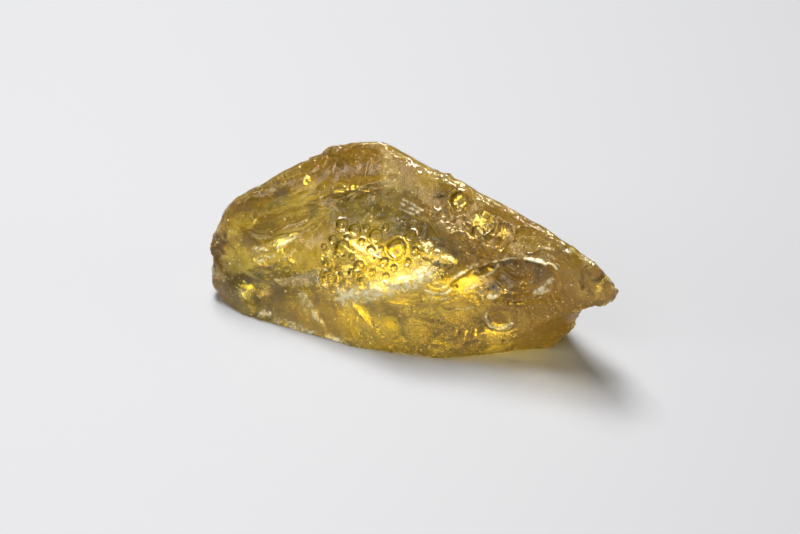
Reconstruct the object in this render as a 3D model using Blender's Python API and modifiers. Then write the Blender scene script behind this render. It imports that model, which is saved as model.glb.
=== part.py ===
"""A raw lump of copal: one broken shard of clear golden resin, 37 mm long.

The shard is a blunt wedge that lies on its one flat facet. Its left end is a
thick butt, its crest climbs to a peak left of the middle and then runs down
to a beak at the right that overhangs the surface. Every face is a fracture:
the convex block between the corners is carved by shallow shell-shaped scars,
then roughened, thinned to few faces and cut flat underneath.

Run it with: blender --background --python part.py
Units are metres, +Z is up, +X points to the beak and +Y to the back.
"""

import math

import bmesh
import bpy
from mathutils import Matrix, Vector, noise

MM = 0.001

# Corners of the block before any scar, in mm. The foot's corners lie below the
# surface that the lump rests on, because the flat facet is cut last.
FOOT_DEPTH = -0.6
FOOT_FRONT = [
    (-18.9, 7.4, 0.3),
    (-17.0, 5.2, FOOT_DEPTH),
    (-15.6, 3.6, FOOT_DEPTH),
    (-10.0, 0.9, FOOT_DEPTH),
    (-5.4, -1.2, FOOT_DEPTH),
    (1.5, -2.8, FOOT_DEPTH),
    (5.6, -1.8, FOOT_DEPTH),
    (12.7, -1.0, FOOT_DEPTH),
]
FOOT_BACK = [
    (-17.0, 11.6, 0.2),
    (-10.0, 14.2, FOOT_DEPTH),
    (0.0, 13.6, FOOT_DEPTH),
    (8.0, 10.2, FOOT_DEPTH),
    (12.4, 5.0, FOOT_DEPTH),
]
CREST = [
    (-17.7, 7.7, 9.7),
    (-16.5, 7.8, 10.8),
    (-12.2, 7.9, 13.2),
    (-7.9, 7.8, 16.7),
    (-2.6, 6.6, 17.8),
    (3.5, 1.9, 15.35),
    (8.4, -0.2, 14.6),
    (12.8, -2.8, 13.8),
    (16.6, -5.6, 12.1),
    (18.1, -6.0, 10.1),
    (18.4, -5.7, 9.5),
    (18.2, -5.6, 8.8),
    (18.1, -5.0, 9.6),
]
FRONT_RIDGE = [
    (-19.5, 7.2, 5.3),
    (-8.6, 1.1, 5.2),
    (-2.3, -1.8, 7.1),
    (2.6, -3.0, 6.9),
    (7.0, -3.2, 9.6),
    (14.9, -3.0, 4.9),
]
BACK_SHOULDER = [
    (-17.5, 12.4, 6.0),
    (-9.5, 14.0, 8.0),
    (-1.0, 12.4, 10.0),
    (7.0, 8.6, 8.5),
    (13.5, 2.5, 7.0),
]

# Shell-shaped scars: a point of the skin in mm, the way the scar faces, its
# length and width in mm, its depth in mm, and the turn of its length from the
# level, in degrees.
FRONT_SCARS = [
    ("upper_hollow", (-6.9, 6.1, 14.7), (-0.32, -0.70, 0.64), (9.6, 4.8), 0.52, 12),
    ("arched_hollow", (-4.6, 3.2, 12.0), (-0.26, -0.84, 0.47), (10.0, 5.4), 0.60, -6),
    ("arched_hollow_left", (-7.8, 4.2, 11.8), (-0.36, -0.78, 0.50), (9.0, 4.0), 0.32, 18),
    ("channel", (1.6, 0.2, 11.9), (-0.40, -0.78, 0.48), (12.0, 3.2), 0.50, -36),
    ("upper_left", (-14.9, 6.1, 10.1), (-0.42, -0.66, 0.62), (8.4, 4.6), 0.36, 26),
    ("groove_left", (-11.5, 5.8, 11.8), (-0.40, -0.64, 0.64), (7.0, 1.7), 0.26, 22),
    ("middle_left", (-11.3, 4.7, 8.7), (-0.42, -0.78, 0.46), (9.4, 5.0), 0.28, 14),
    ("lower_left", (-14.2, 4.2, 4.9), (-0.52, -0.80, 0.30), (9.6, 7.0), 0.42, -8),
    ("flash_facet", (-10.6, 3.2, 6.4), (-0.44, -0.80, 0.40), (8.4, 5.0), 0.20, 20),
    ("frosted_slope", (3.6, 1.2, 14.3), (-0.30, -0.74, 0.60), (10.0, 4.4), 0.30, -24),
    ("slope_right", (9.8, -2.2, 12.6), (-0.30, -0.76, 0.58), (8.0, 3.0), 0.26, -22),
    ("eye", (7.2, -3.3, 9.5), (-0.24, -0.93, 0.28), (11.6, 5.2), 0.80, 2),
    ("eye_facet", (11.4, -4.3, 8.4), (-0.20, -0.97, 0.10), (6.4, 4.2), 0.45, 16),
    ("under_eye", (5.2, -3.6, 7.4), (-0.16, -0.98, 0.12), (7.6, 3.2), 0.32, -8),
    ("low_left_front", (-8.8, 0.5, 2.6), (-0.44, -0.88, 0.18), (9.6, 5.8), 0.42, -24),
    ("crease_left", (-4.6, -0.9, 3.8), (-0.46, -0.86, 0.12), (6.0, 4.6), 0.40, -56),
    ("low_right_front", (2.2, -3.1, 3.4), (-0.05, -0.99, 0.0), (12.0, 6.4), 0.55, 8),
    ("ring", (7.8, -3.7, 5.3), (-0.10, -0.98, -0.10), (2.8, 2.4), 0.24, 0),
    ("heel", (12.6, -2.9, 3.0), (0.38, -0.84, -0.38), (5.4, 4.0), 0.36, 60),
    ("beak_face", (14.9, -4.9, 8.2), (-0.16, -0.98, -0.08), (4.4, 3.2), 0.20, 20),
    ("round_crater", (3.8, 1.7, 15.0), (-0.2, -0.76, 0.62), (2.2, 1.9), 0.22, 0),
]
EDGE_SCARS = [
    ("butt_notch", (-19.4, 7.5, 3.0), (-1.0, -0.15, 0.0), (3.4, 2.6), 0.50, 90),
    ("butt_high", (-19.0, 7.9, 7.6), (-0.95, -0.10, 0.2), (4.4, 3.2), 0.30, 70),
    ("crest_left", (-12.0, 8.1, 13.7), (-0.35, -0.10, 0.93), (8.5, 5.5), 0.40, 0),
    ("crest_right", (1.4, 4.0, 16.7), (0.35, 0.25, 0.90), (7.5, 4.4), 0.35, 0),
    ("beak_step", (15.5, -4.6, 12.8), (0.40, 0.10, 0.90), (2.2, 1.8), 0.30, 0),
    ("beak_under", (15.8, -3.4, 5.9), (0.62, -0.30, -0.72), (5.8, 4.4), 0.80, 50),
]
BACK_SCARS = [
    ("back_left", (-12.0, 13.6, 6.0), (-0.22, 0.95, 0.20), (19.0, 15.0), 0.9, 20),
    ("back_middle", (-3.0, 11.6, 11.2), (0.02, 0.80, 0.60), (19.0, 11.0), 0.9, -12),
    ("back_right", (6.2, 8.2, 8.8), (0.42, 0.80, 0.43), (13.0, 10.0), 0.7, 25),
    ("back_crest", (-9.5, 10.6, 12.8), (-0.25, 0.76, 0.60), (10.0, 5.4), 0.3, 25),
    ("back_low", (-1.5, 13.8, 4.6), (0.06, 0.98, 0.16), (15.0, 7.0), 0.6, -6),
    ("back_heel", (11.2, 6.6, 3.0), (0.65, 0.75, -0.05), (10.0, 6.6), 0.5, 30),
    ("butt_back", (-18.2, 10.8, 4.6), (-0.92, 0.38, 0.05), (9.0, 6.6), 0.45, 60),
]
UNDER_SCARS = [
    ("under_left", (-11.0, 9.4, 0.0), (0.0, 0.0, -1.0), (9.0, 5.6), 0.4, 10),
    ("under_right", (8.0, 4.6, 0.0), (0.0, 0.0, -1.0), (6.0, 4.4), 0.35, -20),
]
# A scar is cut by a lens, the bottom of an ellipsoid. The ellipsoid's half
# height is BOWL times the scar's depth, and the lens ends LENS_TOP mm above the
# skin. Its wall wavers by a share of its radius, WAVER_WAVES times around.
BOWL = 4.0
LENS_TOP = 2.2
LENS_RINGS = 40
WAVER = 0.055
WAVER_WAVES = 2.2

# The skin is cast on a grid, in mm, and its edges are worn by smoothing. Then
# noise bends it and roughens it: a size and a height in mm for each noise.
SKIN_GRID = 0.22
WORN = 10
BEND = (5.5, 0.34)
HACKLE = [(4.0, 0.13), (1.9, 0.07), (1.1, 0.04)]
NOISE_STEP = 7
NOISE_SEED = 3
FACES = 9000

# The box that cuts the flat facet, in mm: wider than the lump and below it.
SLAB = (60, 60, 10)

RESIN_COLOUR = (0.66, 0.42, 0.09, 1.0)
RESIN_ROUGHNESS = 0.12
RESIN_IOR = 1.54


def clear_scene():
    for old in list(bpy.data.objects):
        bpy.data.objects.remove(old)


def new_collection(name):
    collection = bpy.data.collections.new(name)
    bpy.context.scene.collection.children.link(collection)
    return collection


def add_object(name, mesh, collection):
    made = bpy.data.objects.new(name, mesh)
    collection.objects.link(made)
    return made


def convex_block(name, collection):
    """The convex block between all the corners."""
    mesh = bpy.data.meshes.new(name)
    shell = bmesh.new()
    for corner in FOOT_FRONT + FOOT_BACK + CREST + FRONT_RIDGE + BACK_SHOULDER:
        shell.verts.new(Vector(corner) * MM)
    hull = bmesh.ops.convex_hull(shell, input=shell.verts)
    bmesh.ops.delete(shell, geom=hull["geom_interior"], context="VERTS")
    bmesh.ops.recalc_face_normals(shell, faces=shell.faces)
    shell.to_mesh(mesh)
    shell.free()
    return add_object(name, mesh, collection)


def scar_frame(facing, roll):
    """Axes of a scar: its length turned by roll from the level, its width and its facing."""
    outward = Vector(facing).normalized()
    up = Vector((0, 0, 1)) if abs(outward.z) < 0.95 else Vector((0, 1, 0))
    level = up.cross(outward).normalized()
    length_way = Matrix.Rotation(math.radians(roll), 3, outward) @ level
    width_way = outward.cross(length_way)
    return Matrix((length_way, width_way, outward)).transposed()


def scar_cutter(name, at, facing, size, depth, roll, collection):
    """A lens, the bottom of an ellipsoid, that dips into the skin by the scar's depth."""
    height = BOWL * depth
    spread = 2 * math.sqrt(1 - (1 - depth / height) ** 2)
    stretch = Matrix.Diagonal((size[0] / spread, size[1] / spread, height))
    lift = height - depth
    seed = Vector(at)
    mesh = bpy.data.meshes.new(name)
    ball = bmesh.new()
    bmesh.ops.create_uvsphere(ball, u_segments=LENS_RINGS, v_segments=LENS_RINGS // 2, radius=1)
    for vertex in ball.verts:
        waver = 1 + WAVER * noise.noise(WAVER_WAVES * vertex.co + seed)
        vertex.co = stretch @ (vertex.co * waver) + Vector((0, 0, lift))
    everything = ball.verts[:] + ball.edges[:] + ball.faces[:]
    top = Vector((0, 0, LENS_TOP))
    bmesh.ops.bisect_plane(ball, geom=everything, plane_co=top, plane_no=(0, 0, 1), clear_outer=True)
    bmesh.ops.holes_fill(ball, edges=[edge for edge in ball.edges if edge.is_boundary])
    axes = scar_frame(facing, roll)
    for vertex in ball.verts:
        vertex.co = (Vector(at) + axes @ vertex.co) * MM
    bmesh.ops.recalc_face_normals(ball, faces=ball.faces)
    if ball.calc_volume(signed=True) < 0:
        bmesh.ops.reverse_faces(ball, faces=ball.faces)
    ball.to_mesh(mesh)
    ball.free()
    cutter = add_object(name, mesh, collection)
    cutter.hide_render = True
    cutter.display_type = "WIRE"
    return cutter


def evaluated_copy(source, name, collection):
    """A plain mesh object with the source's modifiers applied. The source is removed."""
    graph = bpy.context.evaluated_depsgraph_get()
    mesh = bpy.data.meshes.new_from_object(source.evaluated_get(graph))
    made = add_object(name, mesh, collection)
    bpy.data.objects.remove(source)
    return made


def carve(block, cutters):
    """Cuts the scars, casts the skin anew on its grid and wears its edges."""
    cut = block.modifiers.new("scars", "BOOLEAN")
    cut.operation = "DIFFERENCE"
    cut.operand_type = "COLLECTION"
    cut.collection = cutters
    cut.solver = "EXACT"
    skin = block.modifiers.new("skin", "REMESH")
    skin.mode = "VOXEL"
    skin.voxel_size = SKIN_GRID * MM
    skin.adaptivity = 0.0
    worn = block.modifiers.new("worn_edges", "SMOOTH")
    worn.factor = 0.5
    worn.iterations = WORN


def drop_crumbs(lump):
    """Keeps the largest body and removes crumbs that a scar has cut loose."""
    shell = bmesh.new()
    shell.from_mesh(lump.data)
    left = set(shell.verts)
    bodies = []
    while left:
        front = [left.pop()]
        body = set(front)
        while front:
            vertex = front.pop()
            for edge in vertex.link_edges:
                other = edge.other_vert(vertex)
                if other in left:
                    left.remove(other)
                    body.add(other)
                    front.append(other)
        bodies.append(body)
    bodies.sort(key=len)
    crumbs = [vertex for body in bodies[:-1] for vertex in body]
    bmesh.ops.delete(shell, geom=crumbs, context="VERTS")
    shell.to_mesh(lump.data)
    shell.free()


def roughen(lump):
    """Bends the skin gently, then lifts and lowers it along its normals."""
    mesh = lump.data
    normals = [vertex.normal.copy() for vertex in mesh.vertices]
    bend_size, bend_way = BEND
    for vertex, normal in zip(mesh.vertices, normals):
        place = vertex.co / MM
        bend = noise.noise_vector(place / bend_size) * bend_way
        lift = sum(
            height * noise.noise(place / size + Vector((size * NOISE_STEP, 0, 0)))
            for size, height in HACKLE
        )
        vertex.co += (bend + normal * lift) * MM


def thin_out(lump, faces):
    """Thins the skin to about this many triangles."""
    thin = lump.modifiers.new("thin", "DECIMATE")
    thin.ratio = min(1.0, faces / (2 * len(lump.data.polygons)))


def flat_cut(lump, cutters):
    """Cuts away all that lies below the resting surface."""
    mesh = bpy.data.meshes.new("surface_below")
    slab = bmesh.new()
    bmesh.ops.create_cube(slab, size=1)
    bmesh.ops.scale(slab, vec=Vector(SLAB) * MM, verts=slab.verts)
    bmesh.ops.translate(slab, vec=Vector((0, 0, -SLAB[2] / 2)) * MM, verts=slab.verts)
    slab.to_mesh(mesh)
    slab.free()
    below = add_object("surface_below", mesh, cutters)
    below.hide_render = True
    below.display_type = "WIRE"
    cut = lump.modifiers.new("flat_facet", "BOOLEAN")
    cut.operation = "DIFFERENCE"
    cut.object = below
    cut.solver = "EXACT"


def centre_on_base(lump):
    """Puts the middle of the lump's box over the origin, with its foot at zero."""
    points = [vertex.co for vertex in lump.data.vertices]
    middle = [(min(p[k] for p in points) + max(p[k] for p in points)) / 2 for k in range(2)]
    lump.data.transform(Matrix.Translation((-middle[0], -middle[1], 0)))
    print("shift in mm:", [round(-value / MM, 3) for value in middle])


def resin(name):
    """Clear golden resin."""
    made = bpy.data.materials.new(name)
    made.use_nodes = True
    shader = made.node_tree.nodes["Principled BSDF"]
    shader.inputs["Base Color"].default_value = RESIN_COLOUR
    shader.inputs["Roughness"].default_value = RESIN_ROUGHNESS
    shader.inputs["IOR"].default_value = RESIN_IOR
    shader.inputs["Transmission Weight"].default_value = 1.0
    return made


def main():
    clear_scene()
    noise.seed_set(NOISE_SEED)
    parts = new_collection("raw_copal")
    cutters = new_collection("cutters")
    block = convex_block("block", parts)
    for scar in FRONT_SCARS + EDGE_SCARS + BACK_SCARS + UNDER_SCARS:
        scar_cutter(*scar, cutters)
    carve(block, cutters)
    rough = evaluated_copy(block, "rough", parts)
    drop_crumbs(rough)
    roughen(rough)
    thin_out(rough, FACES)
    flat_cut(rough, cutters)
    lump = evaluated_copy(rough, "copal_lump", parts)
    lump.data.materials.append(resin("copal"))
    centre_on_base(lump)


main()
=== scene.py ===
"""Raw copal: one clear resin lump, with its fracture scars, rings, seams and worn grain."""

import math

import bmesh
import bpy
import numpy as np
from mathutils import Matrix, Vector, noise
from mathutils.bvhtree import BVHTree


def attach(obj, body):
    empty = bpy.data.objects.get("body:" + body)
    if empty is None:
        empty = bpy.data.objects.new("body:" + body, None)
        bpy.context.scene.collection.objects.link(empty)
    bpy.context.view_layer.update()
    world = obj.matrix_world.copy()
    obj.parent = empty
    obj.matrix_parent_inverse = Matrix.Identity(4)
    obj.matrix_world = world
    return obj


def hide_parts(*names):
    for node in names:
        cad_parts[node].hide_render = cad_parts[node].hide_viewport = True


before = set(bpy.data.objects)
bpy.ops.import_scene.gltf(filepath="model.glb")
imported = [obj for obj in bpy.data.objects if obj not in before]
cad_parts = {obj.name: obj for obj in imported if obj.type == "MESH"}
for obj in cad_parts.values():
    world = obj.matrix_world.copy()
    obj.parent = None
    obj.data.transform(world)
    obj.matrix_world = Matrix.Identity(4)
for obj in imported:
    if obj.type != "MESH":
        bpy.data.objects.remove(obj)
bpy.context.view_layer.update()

MM = 0.001

# The photograph's frame, and the camera that took it
WIDE = 800
HIGH = 534
ELEVATION = math.radians(35)
REACH = 228 * MM
AIM = Vector((-0.77, 7.65, 0.0)) * MM
LENS = 105.5
SENSOR = 36
FOCAL = LENS / SENSOR * WIDE
PICTURE_SCALE = FOCAL / (REACH / MM)
TOWARDS_CAMERA = Vector((0, -math.cos(ELEVATION), math.sin(ELEVATION)))
PICTURE_UP = Vector((0, math.sin(ELEVATION), math.cos(ELEVATION)))
PICTURE_RIGHT = Vector((1, 0, 0))
EYE = AIM + REACH * TOWARDS_CAMERA

# The studio: floor, light of the air, and softboxes with their place, width and power
FLOOR_GREY = (0.33, 0.33, 0.34, 1)
FLOOR_ROUGHNESS = 0.6
FLOOR_HALF = 2.5
FLOOR_GAP = 0.01 * MM
AIR_TINT = (1.0, 0.98, 0.94, 1)
AIR_LIGHT = 0.11
LIT_PLACE = (0, 0, 8 * MM)
OVERHEAD = (-0.04, 0.03, 0.36)
SOFTBOXES = {
    "overhead": (OVERHEAD, 0.10, 1.0),
    "rear_light": ((-0.06, 0.14, 0.32), 0.13, 1.6),
    "front_fill": ((-0.14, -0.27, 0.32), 0.24, 0.50),
    "left_fill": ((-0.34, -0.12, 0.16), 0.12, 0.24),
    "right_fill": ((0.36, -0.05, 0.12), 0.10, 0.14),
}

# The lump's mesh, and the front parts of the picture where its grid is halved for small forms
WELD = 0.001 * MM
LUMP_GRID = 0.2 * MM
LUMP_EASING = 5
EASING_SHARE = 0.5
HALVED_ROUNDING = 0.4
EDGE_ROUNDS = 8
BUSY_PARTS = [(318, 196, 470, 306), (440, 186, 560, 334)]
FRONT_SHARE = 0.15
NOISE_SEED = 7

# How lines are laid on the lump: their pace in the picture and in mm
PICTURE_PACE = 3
MM_PACE = 0.3
FACING_REACH = 0.5
TINY = 1e-6

# How strongly the small forms are raised, and their widths in mm
SEAM_GAIN = 1.6
STEP_GAIN = 1.4
RIPPLE_GAIN = 1.5
RING_GAIN = 1.9
CHIP_DEPTH = 0.24
CLIFF_WIDTH = 0.22
LIP_WIDTH = 0.16
LIP_SHARE = 0.22
RIM_WIDTH = 0.11
RING_LINE_WIDTH = 0.085
FOOT_HEIGHT = 0.4

# How painted lines end and fray: fade and start at their ends, and waves in each mm
SOFT_BRUSH = (5, 0.2, 1.6)
FRAYED_BRUSH = (8, 0.25, 2.2)

# The resin, clear where it is fresh and cloudy where it is frosted or warm, and where painted highlights,
# painted glow and painted shade are laid
RESIN_IOR = 1.54
CLEARNESS = 0.95
# Clearness where the resin is fully clouded, by frost and painted highlights, painted glow, painted shade
# or specks
CLOUDED_CLEARNESS = 0.10
# The pale cloud belongs to the painted glow: how far it clouds the resin
GLOW_CLOUD = 0.20
WARM_CLOUD = 0.12
# The dusky cloud and share belong to the painted shade: how far it clouds the resin and how far its near
# black covers the colour
SHADE_CLOUD = 0.25
SHADE_SHARE = 0.92
RESIN_TINT = (0.91, 0.80, 0.03, 1)
RESIN_DEPTH = 112
HONEY = (0.95, 0.70, 0.08, 1)
LIGHT_HONEY = (0.98, 0.81, 0.13, 1)

# Tones laid over the honey, one after another, and how far each covers what is under it
TONES = {
    "warm": ((0.86, 0.42, 0.02, 1), 0.80),
    "mottle": ((0.55, 0.42, 0.07, 1), 0.25),
    "grit": ((0.50, 0.36, 0.06, 1), 0.45),
    # Pale: painted glow, lighter resin that stands in for inner shine
    "pale": ((1.0, 0.76, 0.15, 1), 0.85),
    # Dusk: painted shade in hollows and under rims, and dark lines
    "shade_and_dark_lines": ((0.045, 0.036, 0.010, 1), 1.0),
    # Pale specks: painted glints, small bright dots
    "glint_specks": ((1.0, 0.90, 0.42, 1), 0.60),
    "dark_specks": ((0.16, 0.09, 0.03, 1), 0.80),
    # Frost: frosted resin, and painted highlights on the front ridge, streaks and rims
    "frost_and_highlights": ((1.0, 0.92, 0.64, 1), 1.0),
}

# Waves of the skin's patterns in each metre, and the height of its grit
BROAD_WAVES = 170
MOTTLE_WAVES = 750
GRIT_WAVES = 2400
FINE_WAVES = 9000
SPECK_WAVES = 1500
FINE_SPECK_WAVES = 3100
GRIT_HEIGHT = 0.075 * MM

# The colour sockets of a Mix node
MIX_SHARE = 0
MIX_FIRST = 6
MIX_SECOND = 7
MIX_RESULT = 2

# Mirror films inside the resin that stand in for internal reflections: two tones with their places on a
# ramp, least cover and wall, and rounder ones
FILM_TONES = ((0.35, (0.70, 0.58, 0.22, 1)), (0.55, (1.0, 0.98, 0.85, 1)))
FILM_WAVES = 1500
FILM_ROUGHNESS = 0.22
FILM_COVER = 0.10 * MM
FILM_WALL = 0.03 * MM
FILM_CUTS = 5
FILM_BEND = 0.08
DISC_CORNERS = 14
DISC_UNEVENNESS = 0.9

# Bark and dust grains
GRAIN_TONES = ((0.4, (0.030, 0.012, 0.010, 1)), (0.65, (0.16, 0.06, 0.045, 1)))
GRAIN_WAVES = 4000
GRAIN_ROUGHNESS = 0.6
GRAIN_SEED = 4
GRAIN_FLATNESS = 0.6

# In every table below, a place of two numbers is in the picture and one of three is in mm in the frame

# Round bubble marks: place, radius and depth in mm
RINGS = {
    "crisp_ring": ((364, 283), 0.64, 0.20),
    "left_ring": ((328.5, 279), 0.86, 0.18),
    "twin_ring": ((342, 248), 0.78, 0.20),
    "wide_ring": ((397, 249), 1.06, 0.22),
    "top_ring": ((342, 225), 0.60, 0.14),
    "edge_ring": ((328, 265), 0.62, 0.16),
    "mid_ring": ((359, 266), 0.55, 0.15),
    "upper_ring": ((355, 230), 0.62, 0.13),
    "high_ring": ((376, 236), 0.72, 0.16),
    "low_ring": ((345, 287), 0.50, 0.12),
    "small_ring_a": ((384, 262), 0.48, 0.13),
    "small_ring_b": ((371, 250), 0.46, 0.12),
    "small_ring_c": ((410, 236), 0.60, 0.12),
    "small_ring_d": ((333, 240), 0.46, 0.11),
    "small_ring_e": ((386, 277), 0.42, 0.10),
    "small_ring_f": ((352, 273), 0.44, 0.12),
    "slope_ring": ((460, 201), 0.92, 0.24),
    "slope_ring_low": ((478, 232), 0.60, 0.12),
    "beak_ring": ((500, 319), 1.25, 0.09),
    "speck_ring": ((492.5, 267), 0.66, 0.14),
    "tiny_ring_a": ((347, 238), 0.34, 0.10),
    "tiny_ring_b": ((362, 241), 0.32, 0.10),
    "tiny_ring_c": ((367, 228), 0.36, 0.10),
    "tiny_ring_d": ((386, 227), 0.34, 0.09),
    "tiny_ring_e": ((337, 255), 0.30, 0.09),
    "tiny_ring_f": ((352, 257), 0.34, 0.10),
    "tiny_ring_g": ((381, 249), 0.30, 0.09),
    "tiny_ring_h": ((394, 268), 0.36, 0.10),
    "tiny_ring_i": ((408, 262), 0.34, 0.09),
    "tiny_ring_j": ((373, 272), 0.32, 0.10),
    "tiny_ring_k": ((338, 270), 0.34, 0.10),
    "tiny_ring_l": ((334, 290), 0.32, 0.09),
    "tiny_ring_m": ((415, 250), 0.36, 0.09),
    "tiny_ring_n": ((324, 247), 0.30, 0.08),
    "back_ring_a": ((1.5, 9.5, 6.5), 0.80, 0.18),
    "back_ring_b": ((3.0, 9.4, 7.4), 0.46, 0.12),
    "back_ring_c": ((0.4, 9.5, 7.8), 0.40, 0.10),
    "back_ring_d": ((-9.5, 9.0, 4.0), 0.60, 0.14),
    "back_ring_e": ((-8.4, 9.0, 4.8), 0.36, 0.10),
    "back_ring_f": ((9.0, 5.5, 5.5), 0.52, 0.12),
    "back_ring_g": ((-3.5, 8.0, 12.5), 0.56, 0.12),
    "butt_ring": ((-18.0, 3.0, 5.0), 0.50, 0.12),
}

# Raised seams: the line, width and height in mm
SEAMS = [
    ([(385, 143), (386, 158), (386, 172), (387, 193), (393, 204)], 0.26, 0.10),
    ([(439, 221), (446, 225), (450, 234)], 0.12, 0.09),
    ([(453, 217), (464, 217), (474, 221), (482, 234), (485, 246), (499, 249)], 0.13, 0.10),
    ([(430, 206), (440, 212), (447, 222)], 0.10, 0.07),
    ([(331, 297), (360, 293), (395, 286), (420, 277), (438, 267)], 0.60, 0.20),
    ([(300, 292), (310, 306), (322, 328)], 0.20, 0.09),
    ([(535, 248), (546, 248), (566, 252)], 0.12, 0.08),
    ([(427, 290), (437, 293), (449, 290)], 0.12, 0.09),
    ([(429, 296), (440, 299), (452, 294)], 0.12, 0.07),
    ([(433, 302), (443, 304), (456, 300)], 0.12, 0.06),
    ([(592, 273), (604, 279), (614, 290)], 0.12, 0.06),
    ([(586, 282), (600, 289), (609, 297)], 0.12, 0.06),
    ([(350, 300), (366, 318), (380, 335), (392, 344)], 0.20, 0.10),
    ([(250, 215), (285, 205), (330, 190)], 0.16, 0.05),
    ([(255, 223), (290, 213), (322, 203)], 0.14, 0.05),
    ([(262, 207), (292, 196), (318, 184)], 0.12, 0.04),
    ([(275, 231), (303, 225), (330, 205)], 0.12, 0.06),
    ([(440, 302), (452, 318), (460, 342)], 0.45, 0.09),
    ([(476, 300), (478, 318), (474, 340)], 0.40, 0.08),
    ([(404, 306), (420, 314), (440, 314)], 0.22, 0.07),
    ([(362, 300), (390, 303), (420, 306)], 0.16, 0.05),
    ([(384, 340), (410, 343), (445, 345)], 0.20, 0.07),
    ([(300, 330), (330, 340), (365, 348)], 0.18, 0.08),
    ([(232, 292), (250, 306), (272, 322)], 0.16, 0.07),
    ([(520, 338), (540, 334), (560, 330)], 0.16, 0.07),
    ([(-14, 8, 7), (-8, 9, 8.5), (-1, 9, 8)], 0.22, 0.08),
    ([(-12, 8, 2), (-6, 9.5, 3), (0, 9.5, 5)], 0.20, 0.07),
    ([(2, 9, 10), (7, 7, 8), (12, 4, 7)], 0.20, 0.08),
    ([(4, 8, 3), (8, 6, 4), (13, 3, 3)], 0.18, 0.07),
    ([(-6, 7, 15), (-4, 8, 12), (-5, 9, 9)], 0.18, 0.07),
    ([(-18, 1, 7), (-18, 4, 6), (-17, 7, 4)], 0.18, 0.07),
]

# Sunk lines, with the same numbers
GROOVES = [
    ([(275, 199), (282, 196), (289, 194)], 0.22, 0.14),
    ([(390, 206), (410, 222), (430, 240), (448, 252), (465, 262)], 0.55, 0.16),
    ([(246, 229), (258, 234), (272, 236)], 0.20, 0.10),
    ([(300, 300), (290, 312), (276, 318)], 0.18, 0.08),
    ([(545, 268), (556, 276), (560, 288)], 0.25, 0.10),
    ([(300, 240), (312, 232), (322, 224)], 0.14, 0.08),
    ([(385, 312), (396, 324), (402, 340)], 0.50, 0.12),
    ([(425, 322), (440, 326), (455, 322)], 0.18, 0.06),
    ([(336, 306), (350, 318), (366, 338)], 0.30, 0.08),
    ([(500, 300), (515, 304), (535, 303)], 0.18, 0.06),
]

# Broken steps: the edge, a place on its low side, drop and fade in mm
STEPS = [
    ([(318, 201), (330, 193), (354, 187.5), (370, 190), (381, 199)], (350, 205), 0.34, 1.5),
    (
        [(445, 287), (460, 276), (474, 267), (502, 260), (525, 259.5), (546, 265), (557, 267)],
        (510, 280), 0.42, 1.6,
    ),
    ([(350, 300), (366, 318), (378, 336)], (395, 318), 0.16, 1.2),
    ([(275, 233), (303, 227), (330, 207)], (310, 250), 0.18, 1.0),
    ([(487, 311), (486, 317), (490, 325), (499, 329), (508, 327), (514, 322)], (500, 319), 0.16, 0.7),
    ([(393, 204), (412, 215), (430, 222), (444, 240)], (415, 232), 0.20, 1.0),
    ([(533, 296), (545, 287), (552, 279)], (560, 292), 0.14, 0.8),
    ([(540, 332), (553, 326), (566, 322)], (556, 340), 0.12, 0.8),
    ([(240, 262), (247, 272), (262, 280), (280, 284)], (258, 292), 0.12, 0.9),
    ([(478, 205), (500, 214), (520, 222)], (505, 200), 0.10, 0.8),
    ([(520, 238), (540, 240), (562, 250)], (540, 232), 0.10, 0.8),
]

# Ripples of a break: where they start, where they show, reach, spacing and height in mm
RIPPLES = [
    ((392, 188), (411, 206), 1.5, 0.42, 0.045),
    ((436, 270), (438, 293), 1.4, 0.50, 0.040),
    ((300, 150), (345, 172), 4.0, 1.10, 0.022),
    ((250, 200), (275, 250), 3.5, 0.95, 0.020),
    ((520, 250), (520, 285), 3.4, 0.85, 0.028),
    ((600, 285), (560, 300), 2.6, 0.70, 0.024),
    ((360, 330), (330, 325), 3.0, 0.80, 0.020),
    ((440, 330), (470, 330), 3.0, 0.90, 0.030),
    ((560, 300), (556, 338), 1.6, 0.40, 0.060),
    ((300, 340), (400, 322), 3.6, 1.10, 0.010),
    ((-9, 9, 13), (-7, 9, 8), 5.0, 1.20, 0.030),
    ((5, 9, 12), (4, 9, 5), 4.5, 1.10, 0.030),
    ((-16, 8, 1), (-11, 9, 4), 3.5, 0.90, 0.028),
    ((14, 3, 9), (9, 5, 5), 3.5, 0.80, 0.030),
    ((-2, 4, 18), (-2, 7, 13), 3.5, 0.80, 0.028),
    ((-18, -2, 9), (-18, 3, 5), 3.0, 0.80, 0.030),
]

# Short winding flow lines: middle and reach of their area, number, width and height in mm
FLOWS = [
    ((472, 226), 3.0, 30, 0.11, 0.12),
    ((520, 243), 2.4, 12, 0.12, 0.10),
    ((430, 186), 2.6, 14, 0.16, 0.09),
    ((590, 280), 2.0, 8, 0.16, 0.09),
    ((503, 290), 1.8, 6, 0.11, 0.05),
    ((445, 328), 3.0, 9, 0.20, 0.05),
    ((264, 300), 2.0, 6, 0.20, 0.05),
    ((1.5, 9, 8), 3.5, 12, 0.22, 0.08),
    ((8, 6, 6), 3.5, 10, 0.22, 0.07),
    ((-9, 9, 6), 4.0, 10, 0.22, 0.07),
    ((-18, 3, 5), 2.5, 7, 0.22, 0.07),
    ((0, 6, 15), 2.0, 4, 0.22, 0.06),
]
FLOW_SEED = 11
FLOW_STEP = 0.3
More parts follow.
